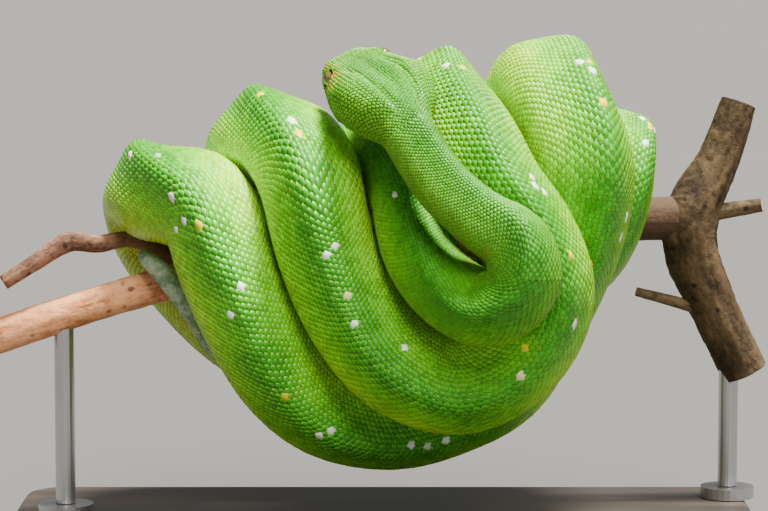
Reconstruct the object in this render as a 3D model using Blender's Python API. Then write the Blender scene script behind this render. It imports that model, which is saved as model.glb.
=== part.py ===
# Green tree python coiled over a cut branch, life size, on a plain stand.
# X runs along the branch, Y away from the viewer, Z up. Route sizes are in millimetres.
import bpy
import bmesh
import math
import numpy as np
from mathutils import Vector

MM = 0.001
GAP = 0.35                # clearance between touching skins
CUT = 0.3                 # clearance between lengths of the body

# Waypoints of the body's middle line, snout to tail tip, one row for each length of the coil.
ROUTE = [
    ("head", [(-15.5, -13, 173), (-6.2, -28.5, 168), (1, -42.5, 162.5)]),
    ("neck", [(9, -56, 152), (14, -60, 144), (21, -64, 135), (33, -69, 125)]),
    ("front_1", [(44, -72, 118), (47, -72, 106), (37, -65, 95), (23, -54, 99), (12, -43, 112),
        (6, -34, 128), (-2, -18, 138)]),
    ("over_1", [(-6, 4, 142)]),
    ("back_1", [(-8, 31, 135), (-6, 47, 116), (8, 52, 105), (20, 50, 117), (20, 31, 144)]),
    ("over_2", [(18.5, 4, 160)]),
    ("front_2", [(26, -22, 151), (36, -38, 133), (49, -43, 115), (54, -45, 97), (45, -45, 77),
        (27, -43, 66), (7, -40, 71), (-8, -34, 87), (-18, -31, 109), (-22.5, -27, 133),
        (-31, -14, 144)]),
    ("over_3", [(-42, 5, 146)]),
    ("back_2", [(-47, 29, 137), (-37, 41, 106), (-13, 50, 83), (17, 54, 80), (46, 52, 101),
        (53, 38, 138)]),
    ("over_4", [(58, 13, 164.5)]),
    ("front_3", [(65, -11, 155.5), (70, -20, 139), (68, -18, 120), (63, -14, 104), (54, -11, 85),
        (41, -7, 63), (24, -5, 53), (4, -5, 47), (-18, -9, 51), (-33, -14, 63), (-45, -22, 83),
        (-54.5, -27, 105), (-62, -24, 123.5)]),
    ("over_5", [(-81, -6, 125.5)]),
    ("back_3", [(-85, 17, 114), (-74, 32, 96), (-51, 36, 74), (-13, 38, 58), (21, 41, 66),
        (48, 49, 89), (71, 49, 119)]),
    ("over_6", [(81, 25, 143)]),
    ("front_4", [(81, 2, 132), (71, -2, 111), (56, 4, 90), (42, 9, 71), (6, 9, 65), (-30, 2, 69)]),
    ("tail", [(-57, -9, 73), (-67, -13, 86), (-76, -15, 97), (-83, -11, 103.5),
        (-86, -4, 105), (-86, 2, 103.5), (-84, 8, 98), (-82, 9, 92)]),
]
# Half girth, by share of the way from snout to tail tip.
GIRTH = [(0, 9.5), (0.03, 10.1), (0.05, 10.8), (0.066, 13.5), (0.12, 13.9), (0.155, 14.8),
         (0.21, 18.4), (0.26, 18.9), (0.60, 19.3), (0.72, 18.7), (0.78, 17.6), (0.862, 15.8),
         (0.90, 13.7), (0.94, 9.9), (0.958, 7.4), (0.97, 5.6), (0.98, 4.3), (0.989, 2.9),
         (1, 1.1)]

# Head, by share of its length from the snout: half width, height above and below the middle.
HEAD_LENGTH = 50.0
HEAD = [(0.00, 7.2, 5.1, 4.8), (0.06, 9.4, 6.7, 6.1), (0.16, 11.4, 8.2, 7.4),
        (0.30, 14.1, 9.5, 8.8), (0.46, 17.0, 10.4, 9.8), (0.62, 18.4, 11.3, 10.8),
        (0.78, 18.1, 11.6, 11.2), (0.92, 15.4, 11.0, 10.6), (1.06, 11.3, 10.4, 10.0)]
SNOUT_ROUND = 5.0         # length over which the blunt snout closes
HEAD_SPINE = (0.0, -0.75, 0.66)
NECK_SPINE = (0.40, -0.66, 0.58)
EYE_RADIUS = 2.8
EYE_SHARE = 0.31          # of the head's length, from the snout
EYE_ANGLE = 1.12          # from the crown round to the side
EYE_SINK = 1.9            # the eye's middle, under the skin

# Perch: middle lines and half thicknesses.
BRANCH = [(-140, -7, 76, 6.7), (-109, -4, 86, 6.4), (-85, 0, 93, 6.3), (-45, 3, 102, 6.3),
          (-2, 7, 108, 6.7), (42, 14, 112, 7.2), (79, 22, 115, 7.7), (112, 28, 116, 8.5)]
TRUNK = [(134, 31, 58, 8.9), (121, 29, 85, 9.2), (113, 28, 106, 10.4), (114, 28, 119, 10.2),
         (123, 31, 136, 8.2), (131, 34, 158, 7.2)]
STUB = [(114, 27, 83, 2.4), (104, 25, 86, 2.1), (93, 24, 89, 1.8)]
SPUR = [(116, 28, 117, 3.6), (128, 27, 119, 3.1), (139, 25, 121, 2.7)]
TWIG = [(-136, -9, 96, 2.9), (-125, -7, 103, 3.1), (-113, -4, 110, 3.8), (-103, 0, 109, 3.4),
        (-93, 7, 110, 3.0), (-84, 11, 107, 2.9), (-75, 10, 101, 2.9), (-66, 5, 98, 2.9)]

BASE_LENGTH, BASE_DEPTH, BASE_THICK = 270.0, 136.0, 11.0
BASE_SHIFT = (0.0, -14.0)
BASE_ROUND = 3.0
ROD_RADIUS = 3.6
ROD_LEFT = -115.0
ROD_RIGHT = 128.0
FOOT_RADIUS, FOOT_HIGH = 10.0, 4.0

SAMPLES = 300             # of the middle line, in the settling
SETTLE_ROUNDS = 300
PRESS = 0.93              # how near soft turns may lie, as a share of both half girths
PERCH_PRESS = 0.8         # the same, against the perch
AROUND = 15               # faces round the body


def curve(points, count):
    """Smooth line through the waypoints, evenly spaced, with any extra columns carried along."""
    p = np.asarray(points, float)
    q = np.vstack([2 * p[0] - p[1], p, 2 * p[-1] - p[-2]])
    t = np.linspace(0, 1, 24, endpoint=False)[:, None]
    out = []
    for p0, p1, p2, p3 in zip(q, q[1:], q[2:], q[3:]):
        d1, d2, d3 = (max(np.linalg.norm((b - a)[:3]), 1e-6) ** 0.5
                      for a, b in ((p0, p1), (p1, p2), (p2, p3)))
        m1 = ((p1 - p0) / d1 - (p2 - p0) / (d1 + d2) + (p2 - p1) / d2) * d2
        m2 = ((p2 - p1) / d2 - (p3 - p1) / (d2 + d3) + (p3 - p2) / d3) * d2
        out.append((2 * t**3 - 3 * t**2 + 1) * p1 + (t**3 - 2 * t**2 + t) * m1
                   + (3 * t**2 - 2 * t**3) * p2 + (t**3 - t**2) * m2)
    return evenly(np.vstack(out + [p[-1:]]), count)


def lengths(p):
    return np.r_[0, np.cumsum(np.linalg.norm(np.diff(p[:, :3], axis=0), axis=1))]


def evenly(p, count):
    s = lengths(p)
    u = np.linspace(0, s[-1], count)
    return np.stack([np.interp(u, s, column) for column in p.T], 1)


def smooth(v, rounds):
    for _ in range(rounds):
        v[1:-1] += 0.5 * (0.5 * (v[:-2] + v[2:]) - v[1:-1])
    return v


def settle(home, girth, perch):
    """Pushes turns of the coil apart, mostly front to back, until they only press together."""
    p, n = home.copy(), len(home)
    s = lengths(home)
    need = PRESS * (girth[:, None] + girth[None, :])
    apart = np.abs(s[:, None] - s[None, :]) > 1.6 * need
    i, j = np.nonzero(np.triu(apart, 1))
    need = need[i, j]
    rows = np.arange(n)
    for _ in range(SETTLE_ROUNDS):
        d = p[i] - p[j]
        far = np.linalg.norm(d, axis=1) + 1e-9
        hit = far < need
        v = d[hit] / far[hit, None] * (need - far)[hit, None] * (0.3, 0.62, 0.3)
        push, count = np.zeros_like(p), np.zeros(n)
        np.add.at(push, i[hit], v)
        np.add.at(push, j[hit], -v)
        np.add.at(count, i[hit], 1)
        np.add.at(count, j[hit], 1)
        p = p + 0.9 * push / np.maximum(count, 1)[:, None]
        d = p[:, None] - perch[None, :, :3]
        far = np.linalg.norm(d, axis=2)
        room = far - perch[None, :, 3] - PERCH_PRESS * girth[:, None]
        k = room.argmin(1)
        p -= d[rows, k] / far[rows, k, None] * np.minimum(room[rows, k], 0)[:, None]
        p = home + smooth(p - home, 2) * (0.94, 0.993, 0.94)
    return p


def unit(v):
    return v / np.linalg.norm(v, axis=-1, keepdims=True)


class Body:
    """The settled middle line with its girth and the direction of the spine."""

    def __init__(self):
        points = [p for _, row in ROUTE for p in row]
        line = curve(points, SAMPLES)
        share = np.linspace(0, 1, SAMPLES)
        self.girth = np.interp(share, *zip(*GIRTH))
        self.perch = np.vstack([curve(BRANCH, 80), curve(TRUNK, 30), curve(TWIG, 30)])
        line = settle(line, self.girth, self.perch)
        self.line = line
        self.s = lengths(line)
        self.length = self.s[-1]
        tangent = unit(np.gradient(line, axis=0))
        branch = self.perch[:80]
        by = np.interp(line[:, 0], branch[:, 0], branch[:, 1])
        bz = np.interp(line[:, 0], branch[:, 0], branch[:, 2])
        x = line[:, 0] + 14
        out = np.stack([np.where(x > 0, 0.0061, 0.0019) * x, np.tanh((line[:, 1] - by) / 11),
                        0.3 * (line[:, 2] - bz + 9) / 40], 1)
        out = unit(out)
        toNeck = np.clip((self.s - 36) / 11, 0, 1)[:, None]
        toBody = np.clip((self.s - 95) / 54, 0, 1)[:, None]
        early = np.array(HEAD_SPINE) * (1 - toNeck) + np.array(NECK_SPINE) * toNeck
        out = early * (1 - toBody) + out * toBody
        out -= tangent * (out * tangent).sum(1, keepdims=True)
        out = smooth(unit(out), 12)
        out -= tangent * (out * tangent).sum(1, keepdims=True)
        self.tangent, self.spine = tangent, unit(out)

    def at(self, s):
        """Middle, tangent, spine and left side at lengths s from the snout."""
        def pick(v):
            return np.stack([np.interp(s, self.s, column) for column in v.T], 1)
        t = unit(pick(self.tangent))
        up = pick(self.spine)
        up = unit(up - t * (up * t).sum(1, keepdims=True))
        return pick(self.line), t, up, np.cross(t, up)

    def free(self, s, around):
        """Distance from the middle to the skin of an unpressed body."""
        girth = np.interp(s, self.s, self.girth)[:, None]
        a = np.abs((around + math.pi) % (2 * math.pi) - math.pi)[None, :]
        tail = np.clip((self.s[-1] - s) / 235, 0, 1)[:, None]
        body = girth * (1 + 0.115 * tail * np.exp(-(a / 0.30) ** 2)
                        - 0.085 * tail * np.exp(-((a - 0.78) / 0.42) ** 2)
                        - 0.05 * np.exp(-((math.pi - a) / 0.6) ** 2))
        f = s / HEAD_LENGTH
        wide, high, low = (np.interp(f, [h[0] for h in HEAD], [h[k] for h in HEAD])[:, None]
                           for k in (1, 2, 3))
        c, w = np.cos(a), np.sin(a)
        tall = np.where(c > 0, high, low)
        head = ((w / wide) ** 2.3 + (np.abs(c) / tall) ** 2.3) ** (-1 / 2.3)
        f = f[:, None]
        bulge = np.exp(-((f - 0.68) / 0.17) ** 2)
        head = head + 1.7 * bulge * np.exp(-((a - 0.95) / 0.36) ** 2)
        head = head - 1.5 * bulge * np.exp(-(a / 0.32) ** 2)
        head = head + 0.9 * np.exp(-((f - EYE_SHARE) / 0.09) ** 2 - ((a - 0.72) / 0.22) ** 2)
        head = head + 0.8 * np.exp(-((f - 0.13) / 0.08) ** 2 - ((a - 0.8) / 0.35) ** 2)
        close = np.clip(s / SNOUT_ROUND, 0, 1)[:, None]
        head = head * (1 - (1 - close) ** 2.6) ** (1 / 2.2)
        mix = np.clip((s - HEAD_LENGTH + 4.5) / 12.5, 0, 1)[:, None]
        mix = mix * mix * (3 - 2 * mix)
        tip = np.clip((self.s[-1] - s) / 5, 0, 1)[:, None] ** 0.5
        return (head * (1 - mix) + body * mix) * np.maximum(tip, 0.25)

    def skin(self, s, around, gap=GAP):
        """Skin points at lengths s and angles from the spine, pressed by turns and perch."""
        mid, t, up, left = self.at(s)
        ray = (up[:, None] * np.cos(around)[None, :, None]
               + left[:, None] * np.sin(around)[None, :, None])
        reach = self.free(s, around)
        girth = np.interp(s, self.s, self.girth)
        d = self.line[None] - mid[:, None]
        far2 = (d ** 2).sum(2)
        same = np.abs(s[:, None] - self.s[None]) < 1.3 * (girth[:, None] + self.girth[None])
        lead = np.where(same, far2, far2 + girth[:, None] ** 2 - self.girth[None] ** 2)
        toward = np.einsum("nak,nmk->nam", ray, d)
        limit = np.where(toward > 1e-6, lead[:, None] / (2 * np.maximum(toward, 1e-6)), 1e3)
        own = np.where(same[:, None] & (far2 > 7)[:, None], limit, 1e3).min(2) * 0.94
        other = np.where(same[:, None], 1e3, limit).min(2) - gap
        d = self.perch[None, :, :3] - mid[:, None]
        far = np.sqrt((d ** 2).sum(2))
        toward = np.einsum("nak,nmk->nam", ray, d)
        room = ((far - self.perch[None, :, 3] - 1.4 * gap) * far)[:, None]
        hard = np.where(toward > 1e-6, room / np.maximum(toward, 1e-6), 1e3).min(2)
        limit = np.minimum(np.minimum(own, other), hard)
        soft = 0.9
        low = np.minimum(reach, limit)
        reach = low - soft * np.log(np.exp((low - reach) / soft) + np.exp((low - limit) / soft))
        return mid[:, None] + ray * np.maximum(reach, 0.5)[..., None], mid


def material(name, colour, rough=0.5, metal=0.0):
    m = bpy.data.materials.new(name)
    m.use_nodes = True
    shader = m.node_tree.nodes["Principled BSDF"]
    shader.inputs["Base Color"].default_value = (*colour, 1)
    shader.inputs["Roughness"].default_value = rough
    shader.inputs["Metallic"].default_value = metal
    m.diffuse_color = (*colour, 1)
    return m


def addObject(name, bm, mat, helper=False):
    mesh = bpy.data.meshes.new(name)
    bmesh.ops.recalc_face_normals(bm, faces=bm.faces)
    bm.to_mesh(mesh)
    bm.free()
    for face in mesh.polygons:
        face.use_smooth = True
    obj = bpy.data.objects.new(name, mesh)
    mesh.materials.append(mat)
    bpy.context.scene.collection.objects.link(obj)
    if helper:
        obj.hide_render = True
        obj.display_type = "WIRE"
    return obj


def lofted(name, rings, ends, mat, helper=False):
    """Closed mesh through rings of points, each end capped to its middle point."""
    bm = bmesh.new()
    rows = [[bm.verts.new(Vector(p) * MM) for p in ring] for ring in rings]
    for a, b in zip(rows, rows[1:]):
        for k in range(len(a)):
            j = (k + 1) % len(a)
            bm.faces.new((a[k], a[j], b[j], b[k]))
    for row, end in ((rows[0][::-1], ends[0]), (rows[-1], ends[1])):
        tip = bm.verts.new(Vector(end) * MM)
        for k in range(len(row)):
            bm.faces.new((row[k], row[(k + 1) % len(row)], tip))
    return addObject(name, bm, mat, helper)


def tube(name, points, sides, rings, mat, grow=0.0, helper=False):
    """Round tapered limb along waypoints with a half thickness in the fourth column."""
    p = curve(points, rings)
    t = unit(np.gradient(p[:, :3], axis=0))
    side = unit(np.cross(t, (0.12, 1.0, 0.05)))
    other = np.cross(t, side)
    a = np.linspace(0, 2 * math.pi, sides, endpoint=False)
    ring = (side[:, None] * np.cos(a)[None, :, None] + other[:, None] * np.sin(a)[None, :, None])
    r = p[:, 3] + grow
    return lofted(name, p[:, None, :3] + ring * r[:, None, None], (p[0, :3], p[-1, :3]),
                  mat, helper)


def cutFrom(obj, cutter):
    step = obj.modifiers.new(cutter.name, "BOOLEAN")
    step.operation = "DIFFERENCE"
    step.solver = "EXACT"
    step.object = cutter


def ball(name, middle, radius, mat, helper=False, detail=(16, 10)):
    bm = bmesh.new()
    bmesh.ops.create_uvsphere(bm, u_segments=detail[0], v_segments=detail[1], radius=radius * MM)
    bmesh.ops.translate(bm, verts=bm.verts, vec=Vector(middle) * MM)
    return addObject(name, bm, mat, helper)


def rod(name, x, y, low, high, radius, mat, sides=20, helper=False):
    bm = bmesh.new()
    bmesh.ops.create_cone(bm, cap_ends=True, segments=sides, radius1=radius * MM,
                          radius2=radius * MM, depth=(high - low) * MM)
    bmesh.ops.translate(bm, verts=bm.verts, vec=Vector((x, y, (low + high) / 2)) * MM)
    return addObject(name, bm, mat, helper)


for old in list(bpy.data.objects):
    bpy.data.objects.remove(old, do_unlink=True)

flank = material("python_green", (0.13, 0.42, 0.03), 0.4)
flankPale = material("python_green_pale", (0.22, 0.50, 0.05), 0.4)
tailTone = material("python_tail", (0.16, 0.34, 0.16), 0.45)
eyeTone = material("eye", (0.30, 0.26, 0.06), 0.15)
bark = material("bark", (0.42, 0.28, 0.20), 0.85)
twigBark = material("twig_bark", (0.34, 0.23, 0.16), 0.85)
baseTone = material("stand_black", (0.03, 0.03, 0.032), 0.45)
steel = material("stand_steel", (0.55, 0.55, 0.56), 0.3, 1.0)

body = Body()

# Lengths of the body: each ends where the next loop of the coil begins.
waypoints = np.array([p for _, row in ROUTE for p in row], float)
near = [body.s[np.linalg.norm(body.line - p, axis=1)[k0:].argmin() + k0] for p, k0 in
        zip(waypoints, (max(0, int(x * SAMPLES) - 12) for x in
            lengths(waypoints) / lengths(waypoints)[-1]))]
starts, k = {}, 0
for name, row in ROUTE:
    starts[name] = near[k]
    k += len(row)
firstMiddle = {name: near[sum(len(r) for n, r in ROUTE[:i]) + len(row) // 2]
               for i, (name, row) in enumerate(ROUTE)}

cuts = [
    ("neck", HEAD_LENGTH),
    ("trunk_01", starts["front_1"]),
    ("trunk_02", starts["over_1"]),
    ("trunk_03", starts["over_2"]),
    ("trunk_04", firstMiddle["front_2"]),
    ("trunk_05", starts["over_3"]),
    ("trunk_06", firstMiddle["back_2"]),
    ("trunk_07", starts["over_4"]),
    ("trunk_08", firstMiddle["front_3"]),
    ("trunk_09", starts["over_5"]),
    ("trunk_10", firstMiddle["back_3"]),
    ("trunk_11", starts["over_6"]),
    ("tail", firstMiddle["front_4"]),
]
around = np.linspace(0, 2 * math.pi, AROUND, endpoint=False)
bounds = [s for _, s in cuts] + [body.length]
for (name, low), high in zip(cuts, bounds[1:]):
    last = high == body.length
    a, b = low + CUT / 2, high - (0 if last else CUT / 2)
    step = 6.8 if name in ("neck", "tail") else 9.0
    s = np.linspace(a, b, max(4, round((b - a) / step) + 1))
    skin, mid = body.skin(s, around)
    lofted(name, skin, (mid[0], mid[-1]), tailTone if name == "tail" else flank)

fine = np.linspace(0, 2 * math.pi, 20, endpoint=False)
s = np.r_[0.5, 1.5, 3.0, 5.0, 7.4, np.linspace(10, HEAD_LENGTH - CUT / 2, 11)]
skin, mid = body.skin(s, fine)
headObject = lofted("head", skin, (body.at(np.array([0.0]))[0][0], mid[-1]), flankPale)

# Each eye is a ball set in a socket a little wider than itself.
for name, side in (("eye_left", -1), ("eye_right", 1)):
    s = np.array([EYE_SHARE * HEAD_LENGTH])
    point, mid = body.skin(s, np.array([side * EYE_ANGLE]))
    inward = unit(mid[0] - point[0, 0])
    middle = point[0, 0] + inward * EYE_SINK
    ball(name, middle, EYE_RADIUS, eyeTone)
    socket = ball("socket_" + name, middle, EYE_RADIUS + 0.3, eyeTone, True, (16, 10))
    cutFrom(headObject, socket)

trunkObject = tube("perch_trunk", TRUNK, 12, 9, bark)
branchObject = tube("perch_branch", BRANCH, 12, 18, bark)
twigObject = tube("perch_twig", TWIG, 9, 14, twigBark)
cutFrom(branchObject, tube("room_trunk", TRUNK, 12, 9, bark, 0.4, True))
cutFrom(twigObject, tube("room_branch", BRANCH, 20, 40, bark, 0.35, True))
for name, row in (("perch_stub", STUB), ("perch_spur", SPUR)):
    cutFrom(tube(name, row, 9, 6, twigBark), bpy.data.objects["room_trunk"])

bm = bmesh.new()
bmesh.ops.create_cube(bm, size=1)
bmesh.ops.scale(bm, vec=Vector((BASE_LENGTH, BASE_DEPTH, BASE_THICK)) * MM, verts=bm.verts)
bmesh.ops.translate(bm, verts=bm.verts, vec=Vector((*BASE_SHIFT, BASE_THICK / 2)) * MM)
upright = [e for e in bm.edges if abs(e.verts[0].co.z - e.verts[1].co.z) > 0.001]
bmesh.ops.bevel(bm, geom=upright, offset=14 * MM, segments=6, profile=0.5, affect="EDGES")
top = [e for e in bm.edges if all(v.co.z > (BASE_THICK - 0.1) * MM for v in e.verts)]
bmesh.ops.bevel(bm, geom=top, offset=BASE_ROUND * MM, segments=3, profile=0.5, affect="EDGES")
addObject("stand_base", bm, baseTone)

perchLines = {"left": curve(BRANCH, 400), "right": curve(TRUNK, 400)[:160]}
for side, x, holder in (("left", ROD_LEFT, branchObject), ("right", ROD_RIGHT, trunkObject)):
    line = perchLines[side]
    k = np.abs(line[:, 0] - x).argmin()
    y, z = line[k, 1], line[k, 2]
    rod("stand_foot_" + side, x, y, BASE_THICK + 0.3, BASE_THICK + 0.3 + FOOT_HIGH,
        FOOT_RADIUS, steel, 28)
    post = rod("stand_rod_" + side, x, y, BASE_THICK + FOOT_HIGH + 0.6, z - 1.0, ROD_RADIUS, steel)
    cutFrom(holder, rod("hole_" + side, x, y, BASE_THICK, z - 0.7, ROD_RADIUS + 0.3, steel, 20, True))

for obj in bpy.data.objects:
    if obj.name.startswith(("stand_base", "stand_rod", "stand_foot")):
        for face in obj.data.polygons:
            face.use_smooth = abs(face.normal.z) < 0.9
print("body length", round(body.length, 1), "cuts", [(n, round(v)) for n, v in cuts])
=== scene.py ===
import bpy
import math
import numpy as np
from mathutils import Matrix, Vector, noise


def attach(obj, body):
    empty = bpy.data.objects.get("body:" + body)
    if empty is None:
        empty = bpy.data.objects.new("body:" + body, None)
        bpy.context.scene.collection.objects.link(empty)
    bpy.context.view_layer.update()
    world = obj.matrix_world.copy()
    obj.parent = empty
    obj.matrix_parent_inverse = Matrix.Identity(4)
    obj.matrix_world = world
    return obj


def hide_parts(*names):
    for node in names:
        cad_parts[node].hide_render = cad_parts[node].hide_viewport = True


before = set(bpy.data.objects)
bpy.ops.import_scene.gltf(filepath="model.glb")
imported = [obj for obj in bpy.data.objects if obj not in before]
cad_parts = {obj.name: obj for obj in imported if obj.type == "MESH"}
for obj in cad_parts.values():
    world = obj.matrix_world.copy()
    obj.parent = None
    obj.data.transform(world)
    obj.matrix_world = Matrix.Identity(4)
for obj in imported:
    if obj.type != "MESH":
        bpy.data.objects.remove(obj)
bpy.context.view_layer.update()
mm = 0.001
print("frame loaded:", len(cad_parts), "solids")


# shader tools
class Sock:
    def __init__(self, look, out):
        self.look, self.out = look, out

    def sum(self, how, *terms, clamp=False):
        return self.look.add("ShaderNodeMath", {"operation": how, "use_clamp": clamp},
                             dict(enumerate(terms)))

    def __add__(self, o): return self.sum("ADD", self, o)
    def __radd__(self, o): return self.sum("ADD", o, self)
    def __sub__(self, o): return self.sum("SUBTRACT", self, o)
    def __rsub__(self, o): return self.sum("SUBTRACT", o, self)
    def __mul__(self, o): return self.sum("MULTIPLY", self, o)
    def __rmul__(self, o): return self.sum("MULTIPLY", o, self)
    def __pow__(self, o): return self.sum("POWER", self, o)
    def __abs__(self): return self.sum("ABSOLUTE", self)
    def most(self, o): return self.sum("MAXIMUM", self, o)
    def sine(self): return self.sum("SINE", self)
    def held(self): return self.sum("ADD", self, 0.0, clamp=True)

    def step(self, low, high):   # smooth from 0 at low to 1 at high
        return self.look.add("ShaderNodeMapRange", {"interpolation_type": "SMOOTHSTEP"},
                             {0: self, 1: low, 2: high, 3: 0.0, 4: 1.0})

class Look:
    def __init__(self, name, fixed):
        self.mat = bpy.data.materials.new(name)
        self.mat.use_nodes = True
        self.tree = self.mat.node_tree
        self.shader = self.tree.nodes["Principled BSDF"]
        for key, value in fixed.items():
            self.shader.inputs[key].default_value = value

    def add(self, kind, settings=None, inputs=None, out=0):
        node = self.tree.nodes.new(kind)
        for key, value in (settings or {}).items():
            if key == "stops":
                ramp = node.color_ramp.elements
                for end, (place, colour) in ((0, value[0]), (-1, value[-1])):
                    ramp[end].position, ramp[end].color = place, (*colour, 1)
                for place, colour in value[1:-1]:
                    ramp.new(place).color = (*colour, 1)
            else:
                setattr(node, key, value)
        for key, value in (inputs or {}).items():
            socket = node.inputs[key]
            if isinstance(value, Sock):
                self.tree.links.new(value.out, socket)
            elif isinstance(value, tuple) and len(value) == 3 and socket.type == "RGBA":
                socket.default_value = (*value, 1)
            else:
                socket.default_value = value
        return Sock(self, node.outputs[out])

    def mix(self, amount, a, b, how="MIX"):
        return self.add("ShaderNodeMix", {"data_type": "RGBA", "blend_type": how},
                        {0: amount, 6: a, 7: b}, 2)

    def parts(self, vector):
        split = self.add("ShaderNodeSeparateXYZ", None, {0: vector}).out.node
        return [Sock(self, o) for o in split.outputs]

    def stored(self, name):
        return self.parts(self.add("ShaderNodeAttribute", {"attribute_name": name}, None, 1))

    def place(self):
        return self.add("ShaderNodeTexCoord", None, None, 3)

    def grain(self, size, detail=3.0, rough=0.55, stretch=None):   # size in metres
        where = self.place()
        if stretch:
            where = self.add("ShaderNodeMapping", None, {0: where, 3: stretch})
        return self.add("ShaderNodeTexNoise", None, {"Vector": where, "Scale": 1 / size,
                        "Detail": detail, "Roughness": rough})

    def cells(self, size):
        return self.add("ShaderNodeTexVoronoi", {"feature": "F1"},
                        {"Vector": self.place(), "Scale": 1 / size})

    def ramp(self, amount, stops):
        return self.add("ShaderNodeValToRGB", {"stops": stops}, {0: amount})

    def bump(self, height, strength, distance):
        return self.add("ShaderNodeBump", None,
                        {"Strength": strength, "Distance": distance, "Height": height})

    def wear(self, **ends):
        for key, value in ends.items():
            socket = self.shader.inputs[{"colour": "Base Color", "rough": "Roughness",
                                         "normal": "Normal"}[key]]
            self.tree.links.new(value.out, socket)
        return self.mat


def meshFrom(name, points, corners, sizes, mat, layers=None, uv=None, smooth=True):
    # points in mm, corners the faces' point numbers end to end, sizes the corners of each face
    mesh = bpy.data.meshes.new(name)
    points = np.ascontiguousarray(points, np.float32) * mm
    mesh.vertices.add(len(points))
    mesh.vertices.foreach_set("co", points.ravel())
    mesh.loops.add(len(corners))
    mesh.loops.foreach_set("vertex_index", np.asarray(corners, np.int32))
    mesh.polygons.add(len(sizes))
    first = np.r_[0, np.cumsum(sizes)[:-1]].astype(np.int32)
    mesh.polygons.foreach_set("loop_start", first)
    mesh.update(calc_edges=True)
    mesh.polygons.foreach_set("use_smooth", np.full(len(sizes), smooth))
    for key, values in (layers or {}).items():
        data = mesh.attributes.new(key, "FLOAT_VECTOR", "POINT").data
        data.foreach_set("vector", np.ascontiguousarray(values, np.float32).ravel())
    if uv is not None:
        layer = mesh.uv_layers.new(name="OFBake", do_init=False)
        layer.uv.foreach_set("vector", np.ascontiguousarray(uv, np.float32).ravel())
    mesh.materials.append(mat)
    mesh.validate()
    obj = bpy.data.objects.new(name, mesh)
    bpy.context.scene.collection.objects.link(obj)
    return obj


def ringFaces(rows, across, start=0, shut=True):
    # quads between rows of points, which go right round where shut
    k = np.arange(across)
    j = (k + 1) % across if shut else k[:-1] + 1
    k = k if shut else k[:-1]
    base = start + np.arange(rows - 1)[:, None] * across
    quads = np.stack([base + k, base + j, base + across + j, base + across + k], -1)
    return quads.reshape(-1, 4)


# camera
shot = {"target": (0.0, 0.0, 0.1048), "distance": 1.08, "elevation": 6.0,
        "sensor": 36.0, "lens": 140.625}
lift = math.radians(shot["elevation"])
camera = bpy.data.objects.new("camera", bpy.data.cameras.new("camera"))
camera.location = Vector(shot["target"]) + Vector((0, -math.cos(lift), math.sin(lift))) * shot["distance"]
camera.rotation_euler = (math.radians(90) - lift, 0, 0)
camera.data.sensor_width, camera.data.lens = shot["sensor"], shot["lens"]
camera.data.clip_start = 0.01
bpy.context.scene.collection.objects.link(camera)
bpy.context.scene.camera = camera


# the coil: route, girth and how hard its turns press, in mm
coil = {
    "route": [
        [(-15.5, -13, 173), (-6.2, -28.5, 168), (1, -42.5, 162.5)],         # head
        [(9, -56, 152), (14, -60, 144), (21, -64, 135), (33, -69, 125)],    # neck
        [(44, -72, 118), (47, -72, 106), (37, -65, 95), (23, -54, 99), (12, -43, 112),
         (6, -34, 128), (-2, -18, 138)],                                    # front, over, back in turn
        [(-6, 4, 142)],
        [(-8, 31, 135), (-6, 47, 116), (8, 52, 105), (20, 50, 117), (20, 31, 144)],
        [(18.5, 4, 160)],
        [(26, -22, 151), (36, -38, 133), (49, -43, 115), (54, -45, 97), (45, -45, 77),
         (27, -43, 66), (7, -40, 71), (-8, -34, 87), (-18, -31, 109), (-22.5, -27, 133),
         (-31, -14, 144)],
        [(-42, 5, 146)],
        [(-47, 29, 137), (-37, 41, 106), (-13, 50, 83), (17, 54, 80), (46, 52, 101),
         (53, 38, 138)],
        [(58, 13, 164.5)],
        [(65, -11, 155.5), (70, -20, 139), (68, -18, 120), (63, -14, 104), (54, -11, 85),
         (41, -7, 63), (24, -5, 53), (4, -5, 47), (-18, -9, 51), (-33, -14, 63), (-45, -22, 83),
         (-54.5, -27, 105), (-62, -24, 123.5)],
        [(-81, -6, 125.5)],
        [(-85, 17, 114), (-74, 32, 96), (-51, 36, 74), (-13, 38, 58), (21, 41, 66),
         (48, 49, 89), (71, 49, 119)],
        [(81, 25, 143)],
        [(81, 2, 132), (71, -2, 111), (56, 4, 90), (42, 9, 71), (6, 9, 65), (-30, 2, 69)],
        [(-57, -9, 73), (-67, -13, 86), (-76, -15, 97), (-83, -11, 103.5),
         (-86, -4, 105), (-86, 2, 103.5), (-84, 8, 98), (-82, 9, 92)]],     # tail
    "girth": [(0, 9.5), (0.03, 10.1), (0.05, 10.8), (0.066, 13.5), (0.12, 13.9), (0.155, 14.8),
              (0.21, 18.4), (0.26, 18.9), (0.60, 19.3), (0.72, 18.7), (0.78, 17.6),
              (0.862, 15.8), (0.90, 13.7), (0.94, 9.9), (0.958, 7.4), (0.97, 5.6),
              (0.98, 4.3), (0.989, 2.9), (1, 1.1)],
    "samples": 300, "rounds": 300, "press": 0.93, "perchPress": 0.8, "gap": 0.35,
    "ridge": 0.115, "hollow": 0.085, "flatBelly": 0.05, "tailLength": 235,   # of the cross-section
    "softEdge": 0.9,   # in mm, where a pressed turn meets its neighbour
}
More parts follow.
